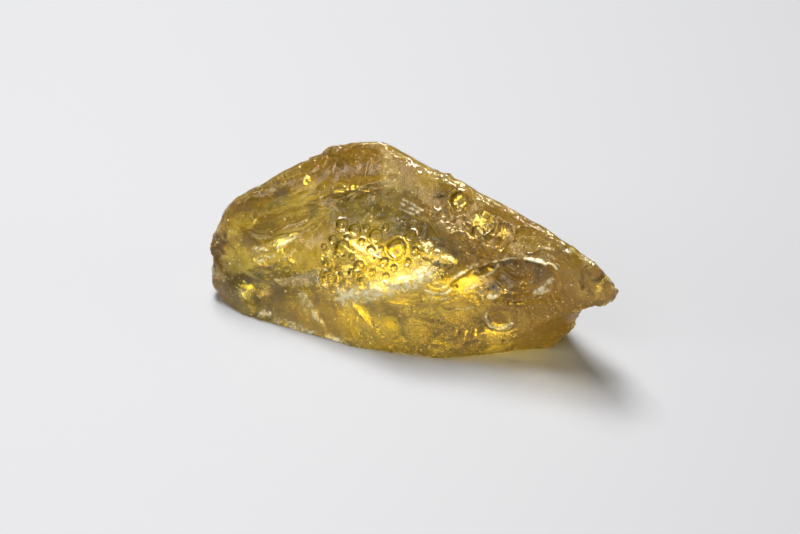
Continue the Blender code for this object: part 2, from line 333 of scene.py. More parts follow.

# Frosted places and painted highlights: the line, width in mm and strength
FROST_AND_HIGHLIGHTS = [
    # Many front lines are painted highlights: the front ridge's sheen, the bright ripple arcs, the white
    # streak on the left and the rim and V of the eye; the lines on the back are frost
    ([(331, 297), (360, 293), (395, 286), (416, 279), (436, 268)], 0.85, 1.4),
    ([(338, 302), (360, 300), (385, 294)], 0.55, 1.0),
    ([(400, 203), (408, 207), (420, 213)], 0.12, 2.0),
    ([(402, 199), (412, 204), (424, 211)], 0.11, 1.8),
    ([(398, 208), (407, 212), (415, 215)], 0.11, 1.6),
    ([(424, 289), (434, 294), (446, 293), (453, 288)], 0.13, 1.8),
    ([(426, 296), (438, 300), (450, 298)], 0.11, 1.3),
    ([(439, 221), (446, 226), (450, 234)], 0.09, 0.8),
    ([(453, 217), (464, 217), (474, 221), (482, 234), (485, 246), (497, 249)], 0.10, 0.6),
    ([(386, 145), (387, 172), (388, 193), (394, 204)], 0.75, 0.45),
    ([(392, 160), (396, 185), (402, 198)], 0.70, 0.35),
    ([(299, 292), (306, 301), (313, 311), (319, 322)], 0.42, 0.9),
    ([(304, 293), (311, 303), (320, 318), (327, 332)], 0.20, 0.7),
    ([(297, 296), (303, 306), (308, 316)], 0.16, 0.6),
    ([(454, 279), (461, 273), (468, 270)], 0.17, 1.2),
    ([(469, 269), (474, 266), (479, 265)], 0.20, 2.2),
    ([(484, 264), (491, 263), (498, 261)], 0.17, 2.0),
    ([(497, 264), (508, 261), (517, 259)], 0.10, 1.0),
    ([(500, 260.5), (508, 259), (517, 258.5)], 0.12, 1.6),
    ([(523, 259), (533, 260), (541, 262), (547, 265)], 0.20, 2.2),
    ([(546, 262), (553, 265), (558, 270)], 0.12, 1.4),
    ([(487, 297), (492, 296), (497, 296)], 0.22, 1.6),
    ([(476, 282), (485, 277), (493, 272), (500, 266)], 0.13, 1.2),
    ([(455, 308), (463, 309), (472, 307)], 0.10, 1.4),
    ([(464, 292), (470, 288), (478, 284)], 0.22, 0.8),
    ([(533, 295), (542, 289), (548, 284), (553, 278)], 0.19, 2.2),
    ([(533, 295.5), (541, 293), (549, 290)], 0.17, 2.0),
    ([(254, 249), (262, 248), (270, 251)], 0.16, 1.3),
    ([(275, 248), (284, 243), (296, 236)], 0.16, 1.4),
    ([(258, 262), (266, 258), (276, 256)], 0.14, 1.2),
    ([(260, 313), (272, 314)], 0.28, 1.8),
    ([(258, 319), (267, 309)], 0.24, 1.6),
    ([(272, 320), (300, 329), (320, 336), (350, 345)], 0.50, 1.0),
    ([(536, 249), (548, 248), (556, 250)], 0.12, 0.9),
    ([(487, 311), (486, 317), (490, 325), (499, 329), (508, 327), (514, 322)], 0.12, 1.8),
    ([(430, 283), (449, 288)], 0.25, 0.60),
    ([(-14, 8, 7), (-8, 9, 8.5), (-1, 9, 8)], 0.35, 0.6),
    ([(2, 9, 10), (7, 7, 8), (12, 4, 7)], 0.40, 0.6),
    ([(-6, 7, 15), (-4, 8, 12)], 0.30, 0.6),
    ([(-10, 9, 0.6), (-2, 9, 0.8), (6, 7, 0.8)], 0.50, 0.6),
    ([(-18, 0, 3), (-18, 5, 3)], 0.40, 0.5),
]

# Warm places and bands in the resin, pale places of painted glow, and dusky bands and places of painted
# shade: place or line, reach in mm and strength
WARM = [
    ((255, 240), 1.6, 0.6),
    ((290, 315), 2.2, 0.6),
    ((320, 318), 2.0, 0.5),
    ((366, 167), 1.0, 0.5),
    ((345, 168), 3.4, 0.7),
    ((308, 180), 1.2, 0.7),
    ((440, 272), 1.0, 0.5),
    ((520, 290), 3.4, 0.5),
    ((560, 300), 2.6, 0.5),
    ((475, 325), 2.4, 0.5),
    ((395, 325), 1.6, 0.4),
    ((230, 205), 1.6, 0.5),
    ((520, 284), 3.6, 0.9),
    ((560, 292), 3.0, 0.9),
    ((592, 286), 2.4, 0.9),
    ((462, 205), 3.0, 0.5),
    ((505, 230), 3.0, 0.6),
    ((530, 330), 3.0, 0.7),
    ((466, 322), 1.8, 1.0),
    ((468, 338), 1.6, 0.9),
    ((425, 335), 1.6, 0.6),
    ((262, 302), 1.4, 0.9),
    ((278, 306), 1.2, 0.7),
    ((464, 300), 0.9, 0.9),
    ((448, 305), 1.0, 0.5),
    ((-6, 9, 7), 3.5, 0.5),
    ((8, 6, 5), 3.0, 0.7),
    ((-17, 4, 6), 2.5, 0.5),
    ((-1, 8, 13), 2.0, 0.5),
]
WARM_BANDS = [
    ([(455, 300), (462, 320), (468, 342)], 1.0, 0.7),
    ([(492, 298), (500, 310), (520, 335)], 0.7, 0.6),
    ([(424, 316), (436, 325), (448, 334)], 0.5, 0.8),
    ([(262, 290), (285, 305), (300, 325)], 0.9, 0.7),
    ([(410, 152), (470, 192), (540, 235)], 0.8, 0.4),
    ([(565, 275), (585, 285), (605, 292)], 0.9, 0.7),
    ([(240, 222), (246, 240), (250, 262)], 0.6, 0.5),
]
# Places of painted glow: pale patches that stand in for inner reflections and shine
PAINTED_GLOW = [
    ((420, 330), 4.0, 0.5),
    ((505, 335), 2.6, 0.4),
    ((345, 332), 2.6, 0.4),
    ((385, 285), 2.6, 0.5),
    ((260, 255), 1.5, 1.0),
    ((286, 245), 1.9, 1.0),
    ((347, 270), 1.2, 0.8),
    ((328, 258), 1.0, 0.7),
    ((372, 262), 2.4, 0.6),
    ((400, 285), 1.6, 0.6),
    ((435, 273), 1.1, 0.8),
    ((253, 218), 0.8, 0.7),
    ((308, 180), 0.8, 0.6),
    ((412, 206), 1.3, 0.9),
    ((440, 296), 1.3, 0.8),
    ((436, 316), 0.8, 0.7),
    ((370, 322), 1.0, 0.5),
    ((545, 288), 0.9, 0.9),
    ((460, 203), 1.2, 0.6),
    ((480, 236), 1.4, 0.4),
    ((556, 336), 1.4, 0.5),
    ((463, 318), 1.4, 0.6),
    ((430, 178), 2.6, 0.9),
    ((462, 202), 3.0, 0.8),
    ((492, 222), 3.0, 0.8),
    ((530, 244), 2.4, 0.9),
    ((588, 284), 2.8, 1.1),
    ((352, 160), 2.4, 0.6),
    ((560, 310), 2.2, 0.6),
    ((462, 334), 1.4, 0.6),
    ((356, 340), 1.6, 0.7),
    ((484, 298), 0.7, 0.8),
    ((424, 338), 1.0, 0.6),
    ((540, 341), 1.0, 0.7),
    ((552, 334), 0.8, 0.7),
    ((520, 262), 1.6, 0.4),
]
# Bands of painted shade: darker resin in the shadowed hollows, under the arch and eye rims and along the
# low front
PAINTED_SHADE_BANDS = [
    ([(330, 207), (350, 202), (372, 206), (392, 220)], 1.1, 1.0),
    ([(392, 218), (410, 228), (432, 240)], 1.3, 0.9),
    ([(336, 214), (352, 212), (368, 216)], 0.8, 0.7),
    ([(250, 214), (266, 208), (284, 200)], 0.35, 0.5),
    ([(300, 152), (330, 156), (360, 160)], 0.9, 0.25),
    ([(222, 262), (236, 272), (252, 280)], 0.8, 0.5),
    ([(300, 262), (308, 275), (318, 288)], 0.7, 0.4),
    ([(384, 304), (392, 320), (398, 338)], 0.7, 0.8),
    ([(404, 304), (430, 306), (452, 300)], 0.35, 0.5),
    ([(425, 320), (445, 324), (462, 330)], 0.35, 0.5),
    ([(478, 302), (482, 320), (480, 340)], 0.35, 0.4),
    ([(322, 202), (350, 198), (382, 210), (400, 228)], 1.0, 0.8),
    ([(392, 208), (412, 226), (436, 244), (466, 262)], 0.7, 0.9),
    ([(470, 276), (485, 269), (505, 266), (530, 265), (550, 272)], 0.35, 0.9),
    ([(250, 230), (262, 226), (280, 222)], 0.5, 0.5),
    ([(290, 332), (330, 341), (372, 350)], 0.30, 0.4),
]
# Places of painted shade: darker resin in hollows, creases and the shadowed lower left
PAINTED_SHADE = [
    ((390, 322), 1.4, 0.8),
    ((408, 330), 1.0, 0.5),
    ((420, 305), 1.2, 0.3),
    ((505, 283), 1.6, 0.6),
    ((535, 272), 1.6, 0.5),
    ((246, 215), 1.4, 0.4),
    ((340, 165), 2.0, 0.4),
    ((470, 300), 0.8, 0.5),
    ((352, 206), 2.6, 0.8),
    ((400, 222), 2.2, 0.9),
    ((425, 240), 2.2, 0.8),
    ((446, 254), 1.8, 0.8),
    ((314, 211), 0.8, 0.8),
    ((282, 196), 0.9, 0.7),
    ((256, 236), 1.3, 0.6),
    ((240, 265), 1.4, 0.5),
    ((442, 196), 0.7, 0.9),
    ((377, 256), 0.5, 0.9),
    ((455, 262), 1.2, 0.7),
    ((486, 290), 0.9, 0.7),
    ((391, 314), 0.9, 1.0),
    ((396, 324), 1.1, 1.0),
    ((401, 334), 1.0, 1.0),
    ((384, 306), 0.6, 0.9),
    ((372, 306), 0.5, 0.6),
    ((250, 288), 1.6, 1.2),
    ((493, 288), 0.9, 1.0),
    ((520, 268), 1.0, 0.8),
    ((535, 276), 1.2, 0.7),
    ((508, 292), 1.0, 0.6),
    ((478, 318), 0.9, 0.7),
    ((436, 332), 0.9, 0.5),
    ((264, 290), 1.8, 0.6),
    ((284, 296), 1.4, 0.5),
    ((440, 246), 1.2, 0.9),
    ((453, 256), 1.0, 0.9),
    ((420, 232), 1.4, 0.8),
    ((470, 252), 0.9, 0.6),
    ((230, 275), 1.2, 0.5),
    ((240, 288), 2.2, 0.85),
    ((256, 293), 2.2, 0.85),
    ((274, 300), 2.0, 0.8),
    ((3, 9, 4), 2.2, 0.6),
    ((-12, 9, 6), 2.0, 0.6),
    ((-4, 8, 11), 1.6, 0.5),
    ((10, 4, 8), 1.6, 0.5),
]

# Places where the break is smooth: place, reach in mm and strength
CALM = [
    ((345, 170), 4.2, 1.0),
    ((318, 174), 2.6, 0.9),
    ((296, 188), 2.2, 0.8),
    ((455, 195), 4.0, 0.6),
    ((510, 228), 3.5, 0.5),
    ((-6, 8, 13), 4.0, 0.9),
    ((300, 190), 2.6, 0.7),
    ((255, 225), 2.6, 0.6),
    ((300, 215), 2.6, 0.5),
    ((245, 280), 2.6, 0.5),
    ((420, 318), 4.0, 0.5),
    ((520, 290), 3.0, 0.6),
    ((470, 320), 2.4, 0.4),
]

# Places where the surface is glossier, with the same numbers
POLISHED = [
    ((450, 192), 3.2, 0.5),
    ((492, 218), 3.4, 0.5),
    ((520, 288), 2.6, 0.4),
    ((345, 168), 3.6, 0.5),
]

# Dents and bumps of the outline: place, reach and depth in mm
DENTS = {
    "left_notch": ((217, 262), 0.7, 0.60),
    "left_knob": ((214, 249), 0.5, -0.20),
    "left_low_knob": ((216, 284), 0.7, -0.30),
    "left_top_dent": ((226, 212), 0.8, 0.30),
    "crest_dent_a": ((268, 188), 0.8, 0.30),
    "crest_knob_a": ((286, 184), 0.7, -0.25),
    "crest_dent_b": ((318, 158), 0.7, 0.25),
    "slope_knob": ((446, 176), 0.6, -0.22),
    "slope_dent": ((478, 196), 0.8, 0.20),
    "beak_step": ((566, 252), 0.7, -0.30),
    "beak_step_low": ((594, 268), 0.6, -0.30),
    "beak_nick": ((583, 262), 0.5, 0.30),
    "beak_under": ((590, 308), 0.8, 0.25),
    "foot_dent": ((330, 338), 0.9, 0.25),
    "foot_dent_left": ((290, 326), 0.8, 0.25),
    "eye_pit": ((508, 262), 0.5, 0.12),
    "low_hollow": ((393, 320), 1.3, 0.30),
    "low_swell": ((462, 326), 1.5, -0.25),
    "low_hollow_right": ((438, 333), 1.2, 0.22),
    "low_swell_left": ((360, 322), 1.3, -0.22),
    "eye_hollow": ((522, 278), 1.8, 0.25),
    "eye_swell": ((484, 300), 0.7, -0.15),
    "beak_hollow": ((578, 290), 1.2, 0.20),
    "heel_hollow": ((530, 322), 1.6, 0.22),
    "low_left_hollow": ((250, 289), 0.9, 0.32),
    "back_hollow": ((-8, 9, 5), 2.5, 0.30),
    "back_hollow_right": ((7, 6, 6), 2.5, 0.30),
    "back_swell": ((0, 9, 11), 2.0, -0.20),
}

# Mirror films inside the resin, shaped like cracks, that stand in for internal reflections: outline in
# the picture and depth under the surface in mm
INNER_REFLECTORS = {
    "reflector_left": (
        [(251, 250), (256, 244), (262, 247), (268, 250), (270, 256)]
        + [(266, 262), (269, 267), (262, 266), (256, 264), (252, 258)],
        0.5,
    ),
    "reflector_right": (
        [(273, 246), (278, 240), (285, 238), (291, 233), (299, 232), (296, 239)]
        + [(288, 244), (284, 251), (287, 258), (281, 256), (276, 253)],
        0.5,
    ),
    "reflector_arch": (
        [(324, 197), (338, 190), (354, 186.8), (370, 189), (379, 195)]
        + [(383, 203), (378, 198), (369, 191.5), (354, 189), (338, 192)],
        0.25,
    ),
    "reflector_low": ([(286, 257), (291, 255), (295, 261), (291, 266)], 0.7),
    "reflector_wedge": ([(366, 316), (371, 320), (378, 327), (385, 338), (381, 337), (375, 330)], 0.4),
}

# Round mirror films inside the resin that stand in for internal reflections: place, radius and depth in
# mm
ROUND_REFLECTORS = {
    "round_reflector_left": ((253, 218), 0.40, 0.6),
    "round_reflector_top": ((308, 180), 0.42, 0.6),
    "round_reflector_dome": ((347, 271), 0.80, 0.8),
    "round_reflector_dome_left": ((328, 257), 0.50, 0.7),
    "round_reflector_seam": ((435, 273), 0.90, 0.7),
    "round_reflector_low": ((436, 317), 0.40, 0.8),
    "round_reflector_eye": ((522, 284), 0.40, 0.8),
    "round_reflector_slope_ring": ((457, 202), 0.70, 0.7),
    "round_reflector_slope": ((482, 222), 0.80, 0.7),
    "round_reflector_slope_low": ((502, 234), 0.50, 0.6),
    "round_reflector_beak": ((600, 288), 0.45, 0.6),
}

# Dark grains of old bark and dust in the resin: place, radius and depth in mm
DARK_GRAINS = [
    ((485, 225), 0.16, 0.10),
    ((492, 220), 0.10, 0.10),
    ((493, 267), 0.26, 0.35),
    ((497, 263), 0.14, 0.30),
    ((489, 289), 0.20, 0.30),
    ((494, 286), 0.22, 0.30),
    ((457, 286), 0.20, 0.20),
    ((439, 320), 0.14, 0.30),
    ((395, 322), 0.13, 0.40),
    ((354, 268), 0.12, 0.20),
    ((378, 254), 0.22, 0.30),
    ((374, 258), 0.16, 0.30),
    ((288, 262), 0.10, 0.10),
    ((281, 252), 0.10, 0.10),
    ((297, 251), 0.10, 0.10),
    ((441, 196), 0.28, 0.20),
    ((436, 197), 0.18, 0.15),
    ((447, 193), 0.16, 0.20),
    ((424, 258), 0.10, 0.20),
    ((271, 268), 0.09, 0.10),
    ((399, 313), 0.09, 0.30),
    ((415, 309), 0.09, 0.30),
    ((503, 341), 0.22, 0.40),
]


def sight(x, y):
    """The direction in which the camera sees a place in the picture."""
    across = (x - WIDE / 2) / FOCAL
    upward = (HIGH / 2 - y) / FOCAL
    return (PICTURE_RIGHT * across + PICTURE_UP * upward - TOWARDS_CAMERA).normalized()


def in_picture(points):
    """Where the camera sees points given in metres, as two rows of picture places."""
    offset = points - np.array(EYE)
    depth = -(offset @ np.array(TOWARDS_CAMERA))
    across = WIDE / 2 + FOCAL * (offset @ np.array(PICTURE_RIGHT)) / depth
    down = HIGH / 2 - FOCAL * (offset @ np.array(PICTURE_UP)) / depth
    return across, down


def bent(way, facing, ratio):
    """A ray's direction past a surface, by the ratio of the refractive indices."""
    cosine = -float(way @ facing)
    share = 1 - ratio**2 * (1 - cosine**2)
    return ratio * way + (ratio * cosine - math.sqrt(max(share, 0))) * facing


def gentle(value):
    """Eases a share between 0 and 1 in and out."""
    share = np.clip(value, 0, 1)
    return share * share * (3 - 2 * share)


def new_object(name, data):
    """A new object in the scene."""
    thing = bpy.data.objects.new(name, data)
    bpy.context.scene.collection.objects.link(thing)
    return thing


def plain_mesh(thing, name):
    """The object's evaluated mesh, as a mesh of its own."""
    graph = bpy.context.evaluated_depsgraph_get()
    mesh = bpy.data.meshes.new_from_object(thing.evaluated_get(graph))
    mesh.name = name
    return mesh


def vertex_rows(mesh, kind):
    """One row for each vertex of a mesh: its place (co) or its normal."""
    values = np.empty(len(mesh.vertices) * 3)
    mesh.vertices.foreach_get(kind, values)
    return values.reshape(-1, 3)


def new_node(tree, kind, inputs, **settings):
    """A node in a tree. An input takes a value, or a link where another node's output is given."""
    made = tree.nodes.new(kind)
    for name, value in settings.items():
        setattr(made, name, value)
    for name, value in inputs.items():
        if isinstance(value, bpy.types.NodeSocket):
            tree.links.new(value, made.inputs[name])
        else:
            made.inputs[name].default_value = value
    return made


def new_finish(name):
    """A new material, with its tree and its shader."""
    finish = bpy.data.materials.new(name)
    finish.use_nodes = True
    return finish, finish.node_tree, finish.node_tree.nodes["Principled BSDF"]


def fine_lump(node):
    """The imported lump's surface on a fine grid, with the facets of the solid eased."""
    shape = bmesh.new()
    shape.from_mesh(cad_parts[node].data)
    bmesh.ops.remove_doubles(shape, verts=shape.verts, dist=WELD)
    coarse = bpy.data.meshes.new("coarse")
    shape.to_mesh(coarse)
    shape.free()
    thing = new_object("coarse", coarse)
    grid = thing.modifiers.new("grid", "REMESH")
    grid.mode = "VOXEL"
    grid.voxel_size = LUMP_GRID
    ease = thing.modifiers.new("ease", "SMOOTH")
    ease.iterations = LUMP_EASING
    ease.factor = EASING_SHARE
    mesh = plain_mesh(thing, "lump")
    bpy.data.objects.remove(thing)
    edge = mesh.attributes.new("edge", "FLOAT", "POINT")
    edge.data.foreach_set("value", standing_out(mesh, EDGE_ROUNDS).astype(np.float32))
    halve_busy_parts(mesh)
    return mesh


def standing_out(mesh, rounds):
    """How far each point of an even grid stands out of its neighbours, in mm."""
    number = len(mesh.vertices)
    points = vertex_rows(mesh, "co") / MM
    pairs = np.empty(len(mesh.edges) * 2, int)
    mesh.edges.foreach_get("vertices", pairs)
    pairs = pairs.reshape(-1, 2)
    links = np.bincount(pairs.ravel(), minlength=number)[:, None]
    smooth = points
    for _ in range(rounds):
        total = np.zeros_like(smooth)
        np.add.at(total, pairs[:, 0], smooth[pairs[:, 1]])
        np.add.at(total, pairs[:, 1], smooth[pairs[:, 0]])
        smooth = total / links
    return ((points - smooth) * vertex_rows(mesh, "normal")).sum(1)


def halve_busy_parts(mesh):
    """Halves the grid on the front faces that carry the smallest forms."""
    shape = bmesh.new()
    shape.from_mesh(mesh)
    shape.faces.ensure_lookup_table()
    middles = np.array([face.calc_center_median() for face in shape.faces])
    fronts = np.array([face.normal.dot(TOWARDS_CAMERA) for face in shape.faces]) > FRONT_SHARE
    across, down = in_picture(middles)
    busy = np.zeros(len(middles), bool)
    for left, top, right, bottom in BUSY_PARTS:
        busy |= (across > left) & (across < right) & (down > top) & (down < bottom)
    chosen = [shape.faces[i] for i in np.flatnonzero(busy & fronts)]
    edges = list({edge for face in chosen for edge in face.edges})
    bmesh.ops.subdivide_edges(shape, edges=edges, cuts=1, use_grid_fill=True, smooth=HALVED_ROUNDING)
    shape.to_mesh(mesh)
    shape.free()


class Relief:
    """Small forms laid on a mesh: how far each point is lifted, and what its surface is like."""

    def __init__(self, mesh):
        count = len(mesh.vertices)
        self.mesh = mesh
        self.points = vertex_rows(mesh, "co") / MM
        self.normals = vertex_rows(mesh, "normal")
        self.lift = np.zeros(count)
        self.calm = np.zeros(count)
        self.frost_and_highlights = np.zeros(count)
        self.warm = np.zeros(count)
        self.shade_and_dark_lines = np.zeros(count)
        self.pale = np.zeros(count)
        self.polish = np.zeros(count)
        shape = bmesh.new()
        shape.from_mesh(mesh)
        self.tree = BVHTree.FromBMesh(shape)
        shape.free()

    def spot(self, place):
        """The surface point in mm, and its normal, at a place in the picture or nearest a point in mm."""
        if len(place) == 3:
            found, facing, _, _ = self.tree.find_nearest(Vector(place) * MM)
        else:
            found, facing, _, _ = self.tree.ray_cast(EYE, sight(*place))
        if found is None:
            found, facing, _, _ = self.tree.find_nearest(EYE + sight(*place) * REACH)
        return np.array(found) / MM, np.array(facing)

    def broad_facing(self, point):
        """The mean normal of the surface around a point in mm."""
        near = np.linalg.norm(self.points - point, axis=1) < FACING_REACH
        facing = self.normals[near].sum(0)
        return facing / np.linalg.norm(facing)

    def on_plane(self, place, point, facing):
        """A place moved onto the plane through a surface point, along the line of sight or straight."""
        if len(place) == 3:
            start, way = np.array(place, float), facing
        else:
            start, way = np.array(EYE) / MM, np.array(sight(*place))
        return start + way * ((point - start) @ facing) / (way @ facing)

    def traced(self, line):
        """A line laid on the surface in short steps, with its normals."""
        marks = []
        pace = PICTURE_PACE if len(line[0]) == 2 else MM_PACE
        for first, second in zip(line[:-1], line[1:]):
            start, end = np.array(first, float), np.array(second, float)
            pieces = max(1, round(np.linalg.norm(end - start) / pace))
            marks += [start + (end - start) * k / pieces for k in range(pieces)]
        marks.append(np.array(line[-1], float))
        found = [self.spot(tuple(mark)) for mark in marks]
        return np.array([point for point, _ in found]), np.array([facing for _, facing in found])

    def along(self, line, reach):
        """The mesh points near a line: their numbers, distances, places along it and side."""
        spots, facings = self.traced(line)
        low, high = spots.min(0) - reach, spots.max(0) + reach
        near = np.flatnonzero(((self.points > low) & (self.points < high)).all(1))
        steps = spots[1:] - spots[:-1]
        lengths = np.maximum(np.linalg.norm(steps, axis=1), TINY)
        starts = np.concatenate([[0], np.cumsum(lengths)])
        best = np.full(len(near), np.inf)
        travel = np.zeros(len(near))
        side = np.zeros(len(near))
        for k, (spot, step, length) in enumerate(zip(spots[:-1], steps, lengths)):
            offset = self.points[near] - spot
            share = np.clip(offset @ step / length**2, 0, 1)
            distance = np.linalg.norm(offset - share[:, None] * step, axis=1)
            closer = distance < best
            best[closer] = distance[closer]
            travel[closer] = (starts[k] + share * length)[closer]
            across = np.cross(facings[k], step / length)
            side[closer] = (offset @ across)[closer]
        same_face = self.normals[near] @ facings.mean(0) > 0
        keep = (best < reach) & same_face
        return near[keep], best[keep], travel[keep] / starts[-1], side[keep]

    def around(self, place, reach):
        """The mesh points near a place: their numbers and distances in mm."""
        point, facing = self.spot(place)
        distance = np.linalg.norm(self.points - point, axis=1)
        near = np.flatnonzero((distance < reach) & (self.normals @ facing > 0))
        return near, distance[near]

    def noise_at(self, near, waves):
        """Even noise, about -0.5 to 0.5, at numbered mesh points, with so many waves in each mm."""
        return np.array([noise.noise(Vector(point) * waves) for point in self.points[near]])

    def seam(self, line, width, height):
        """A raised line, or a sunk one where height is below 0, that fades at both ends."""
        near, distance, travel, _ = self.along(line, width * 3)
        ends = gentle(np.minimum(travel, 1 - travel) * 6)
        waver = 0.75 + 0.5 * self.noise_at(near, 1.3)
        self.lift[near] += SEAM_GAIN * height * np.exp(-((distance / width) ** 2)) * ends * waver

    def step(self, line, low, drop, fade):
        """A sharp broken edge, below which the surface drops and slowly comes back."""
        near, distance, travel, side = self.along(line, fade * 2.6)
        spots, facings = self.traced(line)
        middle = len(spots) // 2
        point, _ = self.spot(low)
        onwards = spots[min(middle + 1, len(spots) - 1)] - spots[middle - 1]
        across = np.cross(facings[middle], onwards)
        sign = np.sign((point - spots[middle]) @ across)
        ends = gentle(np.minimum(travel, 1 - travel) * 5)
        below = side * sign > 0
        shape = np.where(below, -np.exp(-distance / fade) * gentle(distance / CLIFF_WIDTH), 0.0)
        lip = np.exp(-((distance / LIP_WIDTH) ** 2)) * LIP_SHARE
        self.lift[near] += STEP_GAIN * drop * (shape + lip) * ends

    def ring(self, place, radius, depth):
        """A round bubble mark: a dished floor, a low inner button and a fine rim. It also darkens a line
        inside the rim and lightens the centre with painted glow.
        """
        near, distance = self.around(place, radius * 1.9)
        uneven = radius * (1 + 0.10 * self.noise_at(near, 1.1))
        share = distance / uneven
        floor = -depth * np.clip(1 - share**2, 0, 1) ** 0.6
        button = 0.55 * depth * np.exp(-((share / 0.36) ** 2))
        rim = 0.42 * depth * np.exp(-(((distance - uneven) / RIM_WIDTH) ** 2))
        self.lift[near] += RING_GAIN * (floor + button + rim)
        outline = np.exp(-(((distance - 0.88 * uneven) / RING_LINE_WIDTH) ** 2))
        # A dark line just inside the rim, in the mask of painted shade and dark lines
        self.shade_and_dark_lines[near] = np.maximum(self.shade_and_dark_lines[near] * (1 - gentle(1.2 - share)), outline)
        # A lighter centre in the pale mask: painted glow
        self.pale[near] = np.maximum(self.pale[near], 0.5 * np.exp(-((share / 0.5) ** 2)))
        self.polish[near] = np.maximum(self.polish[near], gentle((1.5 - share) * 3))

    def flow(self, place, reach, chance):
        """A short line that winds over the surface from a random point near a place."""

        def aside(facing, turn):
            side = np.cross(facing, (0.3, 0.5, 0.8))
            side /= np.linalg.norm(side)
            return side * math.cos(turn) + np.cross(facing, side) * math.sin(turn)

        point, facing = self.spot(place)
        around = chance.uniform(0, 2 * math.pi)
        away = reach * math.sqrt(chance.uniform(0, 1))
        point = point + away * aside(facing, around)
        heading = chance.uniform(0, 2 * math.pi)
        bend = chance.uniform(-0.45, 0.45)
        line = []
        for _ in range(chance.integers(5, 11)):
            point, facing = self.spot(tuple(point))
            line.append(tuple(point))
            point = point + FLOW_STEP * aside(facing, heading)
            heading += bend + chance.normal(0, 0.25)
        return line

    def dent(self, place, reach, depth):
        """A soft dent in the outline, or a bump where depth is below 0, whichever way its points face."""
        point, facing = self.spot(place)
        distance = np.linalg.norm(self.points - point, axis=1)
        near = np.flatnonzero(distance < reach * 3)
        share = np.exp(-((distance[near] / reach) ** 2))
        agreed = gentle(self.normals[near] @ facing + 1)
        self.lift[near] -= depth * share * agreed

    def ripple(self, start, shown, reach, spacing, height):
        """Curved ripples of a break, strongest where they are shown."""
        point, facing = self.spot(shown)
        origin = self.on_plane(start, point, facing)
        near, distance = self.around(shown, reach)
        travel = np.linalg.norm(self.points[near] - origin, axis=1)
        travel = travel + 0.35 * spacing * self.noise_at(near, 0.5)
        strength = gentle((1 - distance / reach) * 2)
        wave = np.cos(travel / spacing * 2 * math.pi) - 0.35 * np.cos(travel / spacing * 4 * math.pi)
        self.lift[near] += RIPPLE_GAIN * height * wave * strength

    def paint(self, kind, place, reach, strength):
        """Raises one surface quality around a place."""
        near, distance = self.around(place, reach * 1.8)
        value = strength * np.exp(-((distance / reach) ** 2)) * (0.8 + 0.5 * self.noise_at(near, 0.9))
        kind[near] = np.maximum(kind[near], np.clip(value, 0, 1))

    def paint_line(self, kind, line, width, strength, brush):
        """Raises one surface quality along a line, with the ends and the ragged edge of a brush."""
        fade, start, waves = brush
        near, distance, travel, _ = self.along(line, width * 2.4)
        ends = gentle(np.minimum(travel, 1 - travel) * fade + start)
        ragged = 0.8 + 0.8 * self.noise_at(near, waves)
        value = strength * np.exp(-((distance / width) ** 2)) * ends * ragged
        kind[near] = np.maximum(kind[near], np.clip(value, 0, 1))

    def grain(self, edge):
        """Uneven break surface all over: broad waver, fine hackle, grit and chipped edges."""
        every = np.arange(len(self.points))
        broad = self.noise_at(every, 0.35)
        middle = self.noise_at(every, 0.9)
        small = self.noise_at(every, 2.4)
        gate = gentle(broad * 2.5 + 0.5)
        hackle = 1 - 2 * np.abs(middle)
        calm = (1 - 0.9 * self.polish) * (1 - 0.8 * self.calm)
        self.lift += (0.07 * middle + 0.05 * small * (0.25 + gate) + 0.05 * hackle * gate) * calm
        self.lift += 0.06 * np.abs(small) * self.frost_and_highlights * calm
        chips = np.clip(self.noise_at(every, 1.1) * 3 + 0.3, 0, 1) + np.abs(self.noise_at(every, 2.7))
        self.lift -= CHIP_DEPTH * gentle((edge - 0.015) / 0.06) * chips

    def finish(self):
        """Moves the mesh by what was laid on it and keeps the surface qualities as attributes."""
        foot = gentle(self.points[:, 2] / FOOT_HEIGHT)
        moved = self.points + self.normals * (self.lift * foot)[:, None]
        moved[:, 2] = np.maximum(moved[:, 2], 0)
        self.mesh.vertices.foreach_set("co", (moved * MM).ravel())
        self.mesh.update()
        # The attributes keep the frost with its painted highlights, the warm tone, the painted shade with
        # dark lines, the pale painted glow and the polish
        for name in ("frost_and_highlights", "warm", "shade_and_dark_lines", "pale", "polish"):
            attribute = self.mesh.attributes.new(name, "FLOAT", "POINT")
            values = np.clip(getattr(self, name), 0, 1)
            attribute.data.foreach_set("value", values.astype(np.float32))


